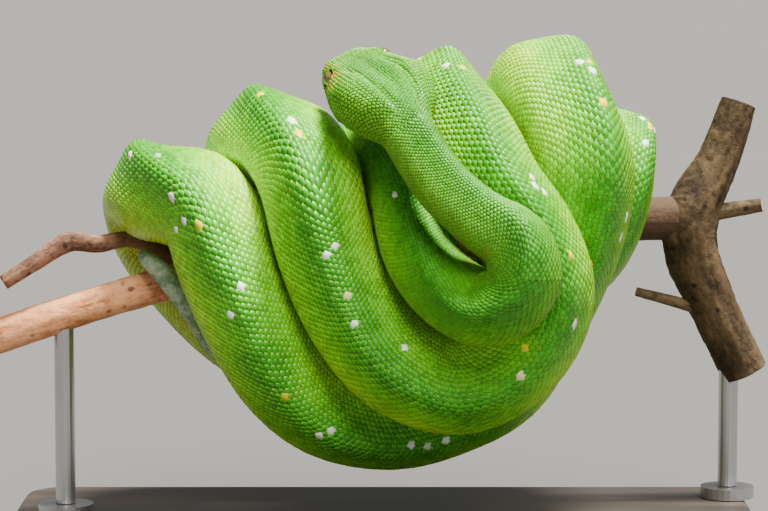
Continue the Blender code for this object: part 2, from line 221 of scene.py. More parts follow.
headShape = {   # rows: share of the length, half width, height above and depth below
    "length": 50.0, "snoutRound": 5.0,
    "rows": [(0.00, 7.2, 5.1, 4.8), (0.06, 9.4, 6.7, 6.1), (0.16, 11.4, 8.2, 7.4),
             (0.30, 14.1, 9.5, 8.8), (0.46, 17.0, 10.4, 9.8), (0.62, 18.4, 11.3, 10.8),
             (0.78, 18.1, 11.6, 11.2), (0.92, 15.4, 11.0, 10.6), (1.06, 11.3, 10.4, 10.0)],
    "spine": (0.0, -0.75, 0.66), "neckSpine": (0.40, -0.66, 0.58),
    "eyeAt": 0.31, "eyeAngle": 1.12, "eyeRadius": 2.8, "eyeSink": 1.9,
    "square": 2.3, "jaw": 1.7, "furrow": 1.5, "brow": 0.9, "muzzle": 0.8,   # the last four in mm
}
perch = {   # places along each limb and its radius
    "branch": [(-140, -7, 76, 6.7), (-109, -4, 86, 6.4), (-85, 0, 93, 6.3), (-45, 3, 102, 6.3),
               (-2, 7, 108, 6.7), (42, 14, 112, 7.2), (79, 22, 115, 7.7), (112, 28, 116, 8.5)],
    "trunk": [(134, 31, 58, 8.9), (121, 29, 85, 9.2), (113, 28, 106, 10.4),
              (114, 28, 119, 10.2), (123, 31, 136, 8.2), (131, 34, 158, 7.2)],
    "twig": [(-136, -9, 96, 2.9), (-125, -7, 103, 3.1), (-113, -4, 110, 3.8),
             (-103, 0, 109, 3.4), (-93, 7, 110, 3.0), (-84, 11, 107, 2.9), (-75, 10, 101, 2.9),
             (-66, 5, 98, 2.9)],
    "stub": [(114, 27, 83, 2.4), (104, 25, 86, 2.1), (93, 24, 89, 1.8)],
    "spur": [(116, 28, 117, 3.6), (128, 27, 119, 3.1), (139, 25, 121, 2.7)],
}


def lengths(p):
    return np.r_[0, np.cumsum(np.linalg.norm(np.diff(p[:, :3], axis=0), axis=1))]


def curve(points, count):
    p = np.asarray(points, float)
    q = np.vstack([2 * p[0] - p[1], p, 2 * p[-1] - p[-2]])
    t = np.linspace(0, 1, 24, endpoint=False)[:, None]
    out = []
    for p0, p1, p2, p3 in zip(q, q[1:], q[2:], q[3:]):
        d1, d2, d3 = (max(np.linalg.norm((b - a)[:3]), 1e-6) ** 0.5
                      for a, b in ((p0, p1), (p1, p2), (p2, p3)))
        m1 = ((p1 - p0) / d1 - (p2 - p0) / (d1 + d2) + (p2 - p1) / d2) * d2
        m2 = ((p2 - p1) / d2 - (p3 - p1) / (d2 + d3) + (p3 - p2) / d3) * d2
        out.append((2 * t**3 - 3 * t**2 + 1) * p1 + (t**3 - 2 * t**2 + t) * m1
                   + (3 * t**2 - 2 * t**3) * p2 + (t**3 - t**2) * m2)
    p = np.vstack(out + [p[-1:]])
    s = lengths(p)
    u = np.linspace(0, s[-1], count)
    return np.stack([np.interp(u, s, column) for column in p.T], 1)


def evened(v, rounds):   # smooths a row of vectors, its ends held
    for _ in range(rounds):
        v[1:-1] += 0.5 * (0.5 * (v[:-2] + v[2:]) - v[1:-1])
    return v


def unit(v):
    return v / np.maximum(np.linalg.norm(v, axis=-1, keepdims=True), 1e-9)


def settle(home, girth, limbs):
    # pushes the turns of the coil apart until they only press together
    p, n = home.copy(), len(home)
    s = lengths(home)
    need = coil["press"] * (girth[:, None] + girth[None, :])
    i, j = np.nonzero(np.triu(np.abs(s[:, None] - s[None, :]) > 1.6 * need, 1))
    need = need[i, j]
    rows = np.arange(n)
    for _ in range(coil["rounds"]):
        d = p[i] - p[j]
        far = np.linalg.norm(d, axis=1) + 1e-9
        hit = far < need
        v = d[hit] / far[hit, None] * (need - far)[hit, None] * (0.3, 0.62, 0.3)
        push, count = np.zeros_like(p), np.zeros(n)
        np.add.at(push, i[hit], v)
        np.add.at(push, j[hit], -v)
        np.add.at(count, i[hit], 1)
        np.add.at(count, j[hit], 1)
        p = p + 0.9 * push / np.maximum(count, 1)[:, None]
        d = p[:, None] - limbs[None, :, :3]
        far = np.linalg.norm(d, axis=2)
        room = far - limbs[None, :, 3] - coil["perchPress"] * girth[:, None]
        k = room.argmin(1)
        p -= d[rows, k] / far[rows, k, None] * np.minimum(room[rows, k], 0)[:, None]
        p = home + evened(p - home, 2) * (0.94, 0.993, 0.94)
    return p


class Snake:
    def __init__(self):
        count = coil["samples"]
        line = curve([p for row in coil["route"] for p in row], count)
        self.girth = np.interp(np.linspace(0, 1, count), *zip(*coil["girth"]))
        self.limbs = np.vstack([curve(perch["branch"], 80), curve(perch["trunk"], 30),
                                curve(perch["twig"], 30)])
        self.line = line = settle(line, self.girth, self.limbs)
        self.s = lengths(line)
        self.length = self.s[-1]
        tangent = unit(np.gradient(line, axis=0))
        # the spine leans away from the branch and out to the sides
        branch = self.limbs[:80]
        by, bz = (np.interp(line[:, 0], branch[:, 0], branch[:, k]) for k in (1, 2))
        x = line[:, 0] + 14
        out = unit(np.stack([np.where(x > 0, 0.0061, 0.0019) * x,
                             np.tanh((line[:, 1] - by) / 11),
                             0.3 * (line[:, 2] - bz + 9) / 40], 1))
        toNeck = np.clip((self.s - 36) / 11, 0, 1)[:, None]
        toBody = np.clip((self.s - 95) / 54, 0, 1)[:, None]
        early = np.array(headShape["spine"]) * (1 - toNeck) + np.array(headShape["neckSpine"]) * toNeck
        out = early * (1 - toBody) + out * toBody
        out -= tangent * (out * tangent).sum(1, keepdims=True)
        out = evened(unit(out), 12)
        out -= tangent * (out * tangent).sum(1, keepdims=True)
        self.tangent, self.spine = tangent, unit(out)

    def at(self, s):   # middle, tangent, spine and left at each length
        def pick(v):
            return np.stack([np.interp(s, self.s, column) for column in v.T], 1)
        t = unit(pick(self.tangent))
        up = pick(self.spine)
        up = unit(up - t * (up * t).sum(1, keepdims=True))
        return pick(self.line), t, up, np.cross(t, up)

    def free(self, s, around):
        # radius of the body where nothing presses on it
        girth = np.interp(s, self.s, self.girth)[:, None]
        a = np.abs((around + math.pi) % (2 * math.pi) - math.pi)[None, :]
        tail = np.clip((self.length - s) / coil["tailLength"], 0, 1)[:, None]
        body = girth * (1 + coil["ridge"] * tail * np.exp(-(a / 0.30) ** 2)
                        - coil["hollow"] * tail * np.exp(-((a - 0.78) / 0.42) ** 2)
                        - coil["flatBelly"] * np.exp(-((math.pi - a) / 0.6) ** 2))
        f = s / headShape["length"]
        rows = headShape["rows"]
        wide, high, low = (np.interp(f, [h[0] for h in rows], [h[k] for h in rows])[:, None]
                           for k in (1, 2, 3))
        c, w = np.cos(a), np.sin(a)
        tall = np.where(c > 0, high, low)
        square = headShape["square"]
        head = ((w / wide) ** square + (np.abs(c) / tall) ** square) ** (-1 / square)
        f = f[:, None]
        back = np.exp(-((f - 0.68) / 0.17) ** 2)
        over = np.exp(-((f - headShape["eyeAt"]) / 0.09) ** 2 - ((a - 0.72) / 0.22) ** 2)
        ahead = np.exp(-((f - 0.13) / 0.08) ** 2 - ((a - 0.8) / 0.35) ** 2)
        head = head + headShape["jaw"] * back * np.exp(-((a - 0.95) / 0.36) ** 2)
        head = head - headShape["furrow"] * back * np.exp(-(a / 0.32) ** 2)
        head = head + headShape["brow"] * over + headShape["muzzle"] * ahead
        close = np.clip(s / headShape["snoutRound"], 0, 1)[:, None]
        head = head * (1 - (1 - close) ** 2.6) ** (1 / 2.2)
        mix = np.clip((s - headShape["length"] + 4.5) / 12.5, 0, 1)[:, None]
        mix = mix * mix * (3 - 2 * mix)
        tip = np.clip((self.length - s) / 5, 0, 1)[:, None] ** 0.5
        return (head * (1 - mix) + body * mix) * np.maximum(tip, 0.25)

    def skin(self, s, around):
        # the same, kept clear of its own bend, the other turns and the perch
        gap = coil["gap"]
        mid, t, up, left = self.at(s)
        ray = (up[:, None] * np.cos(around)[None, :, None]
               + left[:, None] * np.sin(around)[None, :, None])
        reach = self.free(s, around)
        girth = np.interp(s, self.s, self.girth)
        d = self.line[None] - mid[:, None]
        far2 = (d ** 2).sum(2)
        same = np.abs(s[:, None] - self.s[None]) < 1.3 * (girth[:, None] + self.girth[None])
        lead = np.where(same, far2, far2 + girth[:, None] ** 2 - self.girth[None] ** 2)
        toward = np.matmul(ray, d.transpose(0, 2, 1))
        limit = np.where(toward > 1e-6, lead[:, None] / (2 * np.maximum(toward, 1e-6)), 1e3)
        own = np.where(same[:, None] & (far2 > 7)[:, None], limit, 1e3).min(2) * 0.94
        other = np.where(same[:, None], 1e3, limit).min(2) - gap
        d = self.limbs[None, :, :3] - mid[:, None]
        far = np.sqrt((d ** 2).sum(2))
        toward = np.matmul(ray, d.transpose(0, 2, 1))
        room = ((far - self.limbs[None, :, 3] - 1.4 * gap) * far)[:, None]
        hard = np.where(toward > 1e-6, room / np.maximum(toward, 1e-6), 1e3).min(2)
        limit = np.minimum(np.minimum(own, other), hard)
        soft = coil["softEdge"]
        low = np.minimum(reach, limit)
        reach = low - soft * np.log(np.exp((low - reach) / soft) + np.exp((low - limit) / soft))
        return mid[:, None] + ray * np.maximum(reach, 0.5)[..., None], mid


snake = Snake()
print("coil settled, body", round(snake.length), "mm long")

# each eye's middle, with its outward, forward and upward ways
eyes = []
for side in (-1, 1):
    s = np.array([headShape["eyeAt"] * headShape["length"]])
    point, mid = snake.skin(s, np.array([side * headShape["eyeAngle"]]))
    inward = unit(mid[0] - point[0, 0])
    _, t, up, _ = snake.at(s)
    outward = -inward
    forward = unit(-t[0] + outward * (t[0] * outward).sum())
    eyes.append((point[0, 0] + inward * headShape["eyeSink"], outward, forward,
                 np.cross(outward, forward) * -side))

relief = {   # fine form of the face, in mm
    "mouth": 0.8, "mouthWide": 0.45, "lip": 0.35, "nostril": 1.0, "nostrilAt": (3.6, 0.98),
    "orbit": 0.35, "lore": 0.5, "pit": 0.45, "pitWide": 0.62, "crown": 0.45, "temple": 1.0,
    "brow": 0.5,
}


def mouthAngle(s):   # the mouth's line, as an angle from the spine
    return 1.74 + 0.006 * s


def faceRelief(s, a, reach):
    a = np.abs(a)[None, :]
    s = s[:, None]
    fade = np.clip(s / 1.5, 0, 1) * np.clip((37 - s) / 3, 0, 1)
    off = (a - mouthAngle(s)) * reach
    out = -relief["mouth"] * fade * np.exp(-(off / relief["mouthWide"]) ** 2)
    out = out + relief["lip"] * fade * (np.exp(-((off + 2.0) / 1.1) ** 2)
                                        + 0.7 * np.exp(-((off - 2.0) / 1.1) ** 2))
    ns, na = relief["nostrilAt"]
    d = np.hypot(s - ns, (a - na) * reach)
    out = out - relief["nostril"] * np.exp(-(d / 0.75) ** 2) + 0.3 * np.exp(-((d - 1.5) / 0.6) ** 2)
    out = out - relief["lore"] * np.exp(-((s - 9.0) / 3.0) ** 2) * np.exp(-((a - 1.22) * reach / 1.3) ** 2)
    # a shallow trough down the crown, one behind each temple, and a low brow over each eye
    mid = np.clip((s - 9) / 8, 0, 1) * np.clip((50 - s) / 8, 0, 1)
    out = out - relief["crown"] * mid * np.exp(-(a * reach / 1.7) ** 2)
    back = np.clip((s - 19) / 7, 0, 1) * np.clip((56 - s) / 9, 0, 1)
    off2 = (a - 0.62 + 0.0045 * (s - 20)) * reach
    out = out + relief["temple"] * back * (0.35 * np.exp(-((off2 - 2.6) / 1.6) ** 2)
                                           - np.exp(-(off2 / 1.15) ** 2))
    out = out + relief["brow"] * np.exp(-((s - 15) / 4.5) ** 2) * np.exp(-((a - 0.78) * reach / 1.3) ** 2)
    for k in range(6):   # pits of the lower lip
        d = np.hypot(s - 17.5 - 2.9 * k, off - 1.9)
        out = out - relief["pit"] * np.exp(-(d / relief["pitWide"]) ** 2)
    for k in range(2):   # and of the snout
        d = np.hypot(s - 1.8 - 2.6 * k, off + 2.0)
        out = out - relief["pit"] * np.exp(-(d / relief["pitWide"]) ** 2)
    return out


class Hide:
    # the skin tabled over length and angle
    def __init__(self, s, around, face):
        self.s, self.n = s, around
        self.a = np.linspace(-math.pi, math.pi, around, endpoint=False)
        rows = [snake.skin(chunk, self.a) for chunk in np.array_split(s, max(1, len(s) // 50))]
        self.p = np.concatenate([r[0] for r in rows])
        self.mid = np.concatenate([r[1] for r in rows])
        self.normals()
        self.reach = np.linalg.norm(self.p - self.mid[:, None], axis=2)
        if face:
            self.p += self.out * faceRelief(s, self.a, self.reach)[..., None]
            self.sockets()
            self.normals()

    def normals(self):
        along = np.gradient(self.p, axis=0)
        across = np.roll(self.p, -1, 1) - np.roll(self.p, 1, 1)
        self.out = unit(np.cross(across, along))
        if (self.out * (self.p - self.mid[:, None])).sum() < 0:
            self.out = -self.out

    def sockets(self):
        wide = headShape["eyeRadius"] + 0.15
        for middle, outward, _, _ in eyes:
            d = self.p - middle
            high = (d * outward).sum(2)
            aside = np.linalg.norm(d - high[..., None] * outward, axis=2)
            inside = (aside < wide) & (high > -1)
            floor = -np.sqrt(np.maximum(wide ** 2 - aside ** 2, 0))
            self.p += np.where(inside, floor - high, 0)[..., None] * outward
            rim = relief["orbit"] * np.exp(-((aside - wide - 0.7) / 0.5) ** 2) * (high > 0)
            self.p += np.where(inside, 0, rim)[..., None] * outward

    def read(self, s, a):
        row = np.clip(np.interp(s, self.s, np.arange(len(self.s))), 0, len(self.s) - 1.001)
        col = (a + math.pi) / (2 * math.pi) * self.n
        i, j = row.astype(int), np.floor(col).astype(int)
        u, v = (row - i)[..., None], (col - j)[..., None]
        j, k = j % self.n, (j + 1) % self.n
        return [(q[i, j] * (1 - v) + q[i, k] * v) * (1 - u) + (q[i + 1, j] * (1 - v) + q[i + 1, k] * v) * u
                for q in (self.p, self.out)]


hideRows = {"neck": 56.0, "blend": 6.0, "headStep": 0.45, "bodyStep": 1.9,
            "headAround": 144, "bodyAround": 72}
neckAt = hideRows["neck"]   # where the fine hide of the head meets the body's
headS = np.r_[0.02, 0.1, 0.25, 0.5, 0.8, np.arange(1.2, neckAt - 0.2, hideRows["headStep"]), neckAt]
blendFrom = neckAt - hideRows["blend"]   # and where the two begin to blend
bodyCount = round((snake.length - neckAt) / hideRows["bodyStep"])
bodyS = np.r_[blendFrom, (blendFrom + neckAt) / 2, np.linspace(neckAt, snake.length - 0.1, bodyCount)]
headHide = Hide(headS, hideRows["headAround"], True)
bodyHide = Hide(bodyS, hideRows["bodyAround"], False)


def surface(s, a, high):
    # points at height high, in mm, over the hide
    p, out = bodyHide.read(s, a)
    near = s < neckAt
    if near.any():
        hp, hout = headHide.read(s[near], a[near])
        w = np.clip((s[near] - blendFrom) / hideRows["blend"], 0, 1)[..., None]
        p[near] = hp * (1 - w) + p[near] * w
        out[near] = hout * (1 - w) + out[near] * w
    return p + unit(out) * np.asarray(high)[..., None]


def reachAt(s, a):   # radius of the hide
    mid = np.stack([np.interp(s, snake.s, c) for c in snake.line.T], -1)
    return np.linalg.norm(surface(s, a, np.zeros_like(s)) - mid, axis=-1)


print("hide tabled:", headHide.p.shape, bodyHide.p.shape)

# markings: length from the snout in mm, angle from the spine, radius in mm, white, yellow, brown
spots = [
    (8, 0.87, 1.7, 0, 0, 0.6), (14, 0.70, 1.7, 0, 0, 0.5), (19, 1.00, 1.7, 0, 0, 0.6),
    (19, 1.22, 1.8, 0, 0, 0.5), (21, 0.83, 1.6, 0, 0, 0.4), (26, 1.13, 1.5, 0, 0.2, 0.4),
    (48, -1.44, 1, 0, 0, 0.6), (58, -1.05, 1, 0, 0, 0.5), (58, -0.70, 1, 0, 0, 0.5),
    (104, 2.09, 1.5, 0, 0, 0.5), (109, 1.31, 1.3, 0, 0, 0.4), (157, 1.22, 1.6, 0, 0, 0.6),
    (199, -0.26, 1.4, 0.9, 0, 0), (404, 0.61, 1.5, 1, 0, 0), (423, 0.17, 1.5, 1, 0, 0),
    (425, -0.09, 1.5, 0, 0.9, 0), (471, -0.46, 1.5, 1, 0, 0), (474, -0.36, 1.5, 1, 0, 0),
    (476, -0.52, 1.5, 1, 0, 0), (495, -0.35, 1.6, 0, 0.9, 0), (509, -0.35, 1.7, 1, 0, 0),
    (520, 0.35, 1.4, 0, 0.9, 0), (528, 0.09, 1.6, 0.6, 0.4, 0), (571, 0.52, 1.8, 1, 0, 0),
    (590, 0.00, 1.8, 1, 0, 0), (602, 0.09, 1.7, 0.7, 0.5, 0), (619, 0.00, 1.8, 1, 0, 0),
    (621, 0.14, 1.8, 1, 0, 0), (649, 0.17, 1.5, 0, 0.9, 0), (655, 0.17, 1.7, 1, 0, 0),
    (672, 0.00, 1.5, 0, 0.9, 0), (959, 1.48, 1.3, 0, 0, 0.5), (963, 1.66, 1.2, 0, 0, 0.4),
    (972, 1.57, 1.2, 0, 0.2, 0.4), (976, 0.00, 1.4, 0, 0.8, 0), (976, 0.17, 1.5, 1, 0, 0),
    (980, 0.00, 1.5, 1, 0, 0), (991, 0.00, 1.6, 0, 0.9, 0), (1016, -0.87, 1.5, 1, 0, 0),
    (1022, -0.70, 1.4, 1, 0, 0), (1030, 0.10, 1.6, 0, 0.9, 0), (1109, 0.00, 1.5, 0.8, 0, 0),
    (1115, 0.00, 1.3, 0.6, 0, 0), (1121, 0.09, 1.5, 0.8, 0, 0), (1153, 0.09, 1.7, 0.8, 0, 0),
    (1155, -0.09, 1.5, 0.8, 0, 0), (1172, 0.00, 1.2, 0, 0.6, 0), (1204, -0.17, 1.6, 1, 0, 0),
    (1210, 0.17, 1.7, 1, 0, 0), (1229, -0.09, 1.6, 0, 0.8, 0), (1233, -0.79, 1.5, 1, 0, 0),
    (1233, -0.35, 1.5, 1, 0, 0), (1241, -0.26, 1.7, 1, 0, 0), (1252, 0.17, 1.3, 0.5, 0, 0),
    (1545, 0.26, 1.5, 1, 0, 0), (1758, -1.31, 1.6, 0, 0.5, 0.3),
]
# the same kind of spots down the spine on the back of the coil: from, to, how many
backSpots = {"lengths": ((262, 395, 9), (700, 945, 16), (1262, 1525, 16), (1545, 1700, 8)),
             "spread": 0.22, "size": (1.4, 1.8), "white": 0.7}
rng = np.random.default_rng(21)
for low, high, count in backSpots["lengths"]:
    for at in np.sort(rng.uniform(low, high, count)):
        white = float(rng.random() < backSpots["white"])
        spots.append((at, rng.normal(0, backSpots["spread"]), rng.uniform(*backSpots["size"]),
                      white, 0.9 * (1 - white), 0))


nearest = 1.7   # how far in mm a bright spot looks for its scale


def marks(s, a, single=False):
    # how white, yellow and brown the hide is at each place. A bright spot is one single scale
    out = np.zeros(s.shape + (3,))
    girth = np.interp(s, snake.s, snake.girth)
    turn = (a + math.pi) % (2 * math.pi) - math.pi
    for at, angle, size, white, yellow, brown in spots:
        far = np.hypot(s - at, (turn - angle) * girth)
        amount = np.clip((size - far) / 0.7 + 0.5, 0, 1)
        if single and not brown:
            amount = 1.0 * (far == min(far.min(), nearest))
        out = np.maximum(out, amount[..., None] * np.array((white, yellow, brown), float))
    return out


# skin and coat share one look
# between is a near-black green for the gaps and the tucked fronts of the scales: partly the skin's own
# darker colour, partly painted shade. tip is a pale green painted highlight on each scale's hind edge
greens = {
    "spine": (0.045, 0.35, 0.008), "flank": (0.16, 0.62, 0.001), "low": (0.42, 0.78, 0.001),
    "belly": (0.60, 0.70, 0.08), "between": (0.014, 0.040, 0.0), "tip": (0.66, 0.99, 0.05),
    "tail": (0.20, 0.30, 0.165), "tailPale": (0.50, 0.60, 0.44), "head": (0.045, 0.32, 0.012),
}
spotColours = [(0.97, 0.96, 0.90), (0.88, 0.72, 0.0), (0.45, 0.20, 0.02)]   # white, yellow, brown
hideLook = {
    "broad": 0.034, "fine": 0.006, "mottle": 0.005, "grain": 0.0011,   # sizes of the noise, in metres
    "down": (0.05, 0.22, 0.48, 0.86),   # spine, flank, low and belly, from the spine down
    "front": (0.05, 0.16), "tail": (0.86, 0.945),   # shares of the length where these two fade
    # the last of these darkens the skin in the gaps: partly its own darker colour, partly painted shade
    "wander": 0.34, "scaleShade": 0.34, "gapDarkAndShade": 0.80,
    "specular": {"coat": 0.30, "skin": 0.10}, "rough": {"coat": 0.28, "skin": 0.62},
}


def pythonLook(name, kind):
    look = Look(name, {"Specular IOR Level": hideLook["specular"][kind]})
    length, angle, chance = look.stored("place")
    broad, fine = look.grain(hideLook["broad"], 2.0), look.grain(hideLook["fine"], 2.0)
    side = angle + (broad - 0.5) * hideLook["wander"]
    bands = [greens[band] for band in ("spine", "flank", "low", "belly")]
    colour = look.ramp(side.held(), [(0.0, bands[0]), *zip(hideLook["down"], bands)])
    front = 1 - length.step(*hideLook["front"])   # head, neck and first turn are the purer green
    colour = look.mix(front * 0.75, colour, greens["head"])
    mottle = look.grain(hideLook["mottle"], 4.0, 0.7).step(0.40, 0.62)
    tail = look.mix(mottle, greens["tail"], greens["tailPale"])
    colour = look.mix(length.step(*hideLook["tail"]) * 0.95, colour, tail)
    shade = 0.70 + 0.40 * broad + hideLook["scaleShade"] * (chance - 0.5) + 0.30 * (fine - 0.5)
    colour = look.mix(1.0, colour, look.add("ShaderNodeCombineXYZ", None,
                      {0: shade, 1: shade, 2: shade}), "MULTIPLY")
    if kind == "coat":
        along, _, size = look.stored("shape")
        # painted highlight: the hind edge of each scale is lightened towards a pale yellow-green, more on
        # some scales, less on the head and neck, little on the tail
        tip = along.step(0.45, 0.85) * (0.16 + 0.46 * chance) * (1 - 0.4 * front)
        colour = look.mix(tip * (1 - length.step(0.86, 0.95) * 0.8), colour, greens["tip"])
        # painted shade: each scale darkens towards the gap colour over its front, which lies under the row
        # before, and at its side edges, more on the neck
        root = 1 - along.step(-0.85, -0.05)
        edge = (root * 0.70).most(size.step(0.86, 1.0) * 0.45)
        edge = edge * (1 + 0.6 * front * length.step(0.02, 0.035))   # darker on the neck
        colour = look.mix(edge.held(), colour, greens["between"])
    else:
        # the skin in the gaps goes most of the way to the near-black gap colour: partly its own darker
        # colour, partly painted shade
        colour = look.mix(hideLook["gapDarkAndShade"], colour, greens["between"])
    for amount, spotColour in zip(look.stored("mark"), spotColours):
        colour = look.mix(amount, colour, spotColour)
    rough = hideLook["rough"][kind] + 0.16 * fine + 0.10 * (chance - 0.5)
    normal = look.bump(look.grain(hideLook["grain"]), 0.22, 0.00010)
    return look.wear(colour=colour, rough=rough, normal=normal)


coatMat, skinMat = pythonLook("scale coat", "coat"), pythonLook("skin between scales", "skin")

# one skin over the whole animal, this far in mm under the hide
coatDepth = 0.5


def buildSkin():
    lap = 3   # rows of the body that lie under the head's
    head, body = (hide.p - hide.out * coatDepth for hide in (headHide, bodyHide))
    nHead, nBody = len(headS), len(bodyS) - lap
    a, b = headHide.n, bodyHide.n
    points = np.vstack([head.reshape(-1, 3), body[lap:].reshape(-1, 3),
                        headHide.mid[:1], bodyHide.mid[-1:]])
    start = nHead * a
    quads = np.vstack([ringFaces(nHead, a), ringFaces(nBody, b, start)])
    k = np.arange(b)
    last = (nHead - 1) * a
    # two columns of the head's meet one of the body's
    h0, h1, h2 = last + 2 * k, last + 2 * k + 1, last + (2 * k + 2) % a
    b0, b1 = start + k, start + (k + 1) % b
    join = np.vstack([np.stack(corner, 1) for corner in ((h0, h1, b0), (h1, b1, b0), (h1, h2, b1))])
    k = np.arange(a)
    nose = np.stack([(k + 1) % a, k, np.full(a, len(points) - 2)], 1)
    k = np.arange(b)
    end = start + (nBody - 1) * b
    tip = np.stack([end + k, end + (k + 1) % b, np.full(b, len(points) - 1)], 1)
    tris = np.vstack([join, nose, tip])
    s = np.r_[np.repeat(headS, a), np.repeat(bodyS[lap:], b), 0, snake.length]
    ang = np.r_[np.tile(headHide.a, nHead), np.tile(bodyHide.a, nBody), 0, 0]
    place = np.stack([s / snake.length, np.abs(ang) / math.pi, np.full(len(s), 0.5)], 1)
    corners = np.r_[quads.ravel(), tris.ravel()]
    sizes = np.r_[np.full(len(quads), 4), np.full(len(tris), 3)]
    # the map folds the length of the body into strips
    strips = 14
    wide = (snake.length + 1) / strips
    firstOf = np.r_[0, np.cumsum(sizes)[:-1]]
    middle = np.add.reduceat(s[corners], firstOf) / sizes
    strip = np.repeat(np.floor(middle / wide), sizes)
    turn = (ang[corners] + math.pi) / (2 * math.pi)
    base = np.repeat(turn[firstOf], sizes)
    turn = np.where(turn - base < -0.5, turn + 1, np.where(turn - base > 0.5, turn - 1, turn))
    uv = np.stack([0.02 + 0.96 * (s[corners] - strip * wide) / wide,
                   (strip + 0.05 + 0.9 * np.clip(turn, 0, 1)) / strips], 1)
    return meshFrom("python_skin", points, corners, sizes, skinMat,
                    {"place": place, "mark": marks(s, ang)}, uv)


skin = buildSkin()
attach(skin, "root")
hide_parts(*[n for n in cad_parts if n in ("head", "neck", "tail") or n.startswith("trunk_")])
print("skin made:", len(skin.data.polygons), "faces")

# the coat: every scale a small domed plate, its hind edge lying over the next
plate = {
    "sides": 6, "square": 1.35, "dome": 0.03, "skirt": 0.12,
    "flat": (0.0, 0.93, 1.0), "domed": (0.0, 0.52, 0.90, 1.0),   # rings of points, as shares of its size
    "swell": 0.24, "lift": 0.10,   # how much wider and higher, in mm, a bright scale is
    "patch": 0.0015,   # half of its place in the bake map
}


def layPlates(name, s, a, halfLong, halfWide, rise, sink, rings):
    # s and a place each plate, halfLong in mm, halfWide in radians, rise the hind edge's height
    n, m = len(s), plate["sides"]
    mark = marks(s, a, True)
    bright = mark[:, :2].max(1) > 0.55
    halfLong, halfWide = (half * (1 + plate["swell"] * bright) for half in (halfLong, halfWide))
    sink, rise = (high + plate["lift"] * bright for high in (sink, rise))
    phi = np.arange(m) * 2 * math.pi / m
    q = plate["square"]
    r = (np.abs(np.cos(phi)) ** q + np.abs(np.sin(phi)) ** q) ** (-1 / q)
    v = np.r_[0.0, np.concatenate([k * r * np.cos(phi) for k in rings[1:]])]
    u = np.r_[0.0, np.concatenate([k * r * np.sin(phi) for k in rings[1:]])]
    rho = np.r_[0.0, np.repeat(rings[1:], m)]
    lean = (0.5 + 0.5 * np.clip(v, -1, 1)) ** 0.85
    high = np.where(rho > 0.99, 0, 1)[None, :] * (sink[:, None] + (rise - sink)[:, None] * lean[None, :]
            + plate["dome"] * (rise / 0.45)[:, None] * (1 - rho[None, :] ** 2))
    high = high + np.where(rho > 0.99, 1, 0)[None, :] * (sink - plate["skirt"])[:, None]
    sAll = s[:, None] + v[None, :] * halfLong[:, None]
    aAll = a[:, None] + u[None, :] * halfWide[:, None]
    sAll = np.clip(sAll, 0.03, snake.length - 0.2)
    points = surface(sAll, aAll, high - coatDepth).reshape(-1, 3)
    per = len(v)
    faces = [[0, 1 + (k + 1) % m, 1 + k] for k in range(m)]
    for ring in range(len(rings) - 2):
        for k in range(m):
            j, lo, hi = (k + 1) % m, 1 + ring * m, 1 + (ring + 1) * m
            faces.append([lo + k, lo + j, hi + j, hi + k])
    faces.append([len(v) - m + k for k in range(m)][::-1])
    flat = np.concatenate(faces)
    sizes = np.tile([len(f) for f in faces], n)
    corners = (flat[None, :] + (np.arange(n) * per)[:, None]).ravel()
    chance = np.random.default_rng(n).random(n)
    turn = (a + math.pi) % (2 * math.pi)
    place = np.stack([s / snake.length, np.abs(turn - math.pi) / math.pi, chance], 1)
    shape = np.stack([np.tile(v, (n, 1)), np.tile(u, (n, 1)), np.tile(rho, (n, 1))], 2).reshape(-1, 3)
    low, high = s.min(), s.max()
    root = np.stack([0.03 + 0.94 * (s - low) / (high - low + 1e-6),
                     0.03 + 0.94 * turn / (2 * math.pi)], 1)
    spread = np.stack([v, u], 1) * plate["patch"]
    uv = (root[:, None, :] + spread[None, flat, :]).reshape(-1, 2)
    layers = {"place": np.repeat(place, per, 0), "mark": np.repeat(mark, per, 0), "shape": shape}
    obj = meshFrom(name, points, corners, sizes, coatMat, layers, uv)
    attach(obj, "root")
    return obj


rows = {
    "start": 58.0, "tailStart": 1735.0, "columns": 64, "tailColumns": 36, "pitch": 2.2,
    "bellyHalf": 0.56, "crowd": 0.18,   # scales crowd to the spine and widen to the belly
    "wide": 1.80, "long": 1.60, "rise": 0.30, "sink": -0.10, "jitter": 0.03,
    "cuts": (150.0, 360.0, 570.0, 780.0, 990.0, 1200.0, 1410.0, 1600.0),   # between its pieces
}


def bodyRows(low, high, columns):
    # centres of the scales between two lengths, in rows half a scale apart
    out, s, odd = [], low, 0
    while s < high:
        girth = np.interp(s, snake.s, snake.girth)
        pitch = rows["pitch"] * (girth / 19.0) ** 0.9
        half = columns // 2
        x = (np.arange(half + odd) + 0.5 - 0.5 * odd) / half * 2 - 1
        wing = math.pi - rows["bellyHalf"]
        crowd = rows["crowd"]
        a = wing * np.sign(x) * ((1 + crowd) * np.abs(x) - crowd * np.abs(x) ** 2.2)
        step = wing * (1 + crowd - 2.2 * crowd * np.abs(x) ** 1.2) / half
        out.append(np.stack([np.full(len(x), s), a, step, np.full(len(x), pitch)], 1))
        s += pitch / 2
        odd = 1 - odd
    return np.vstack(out)


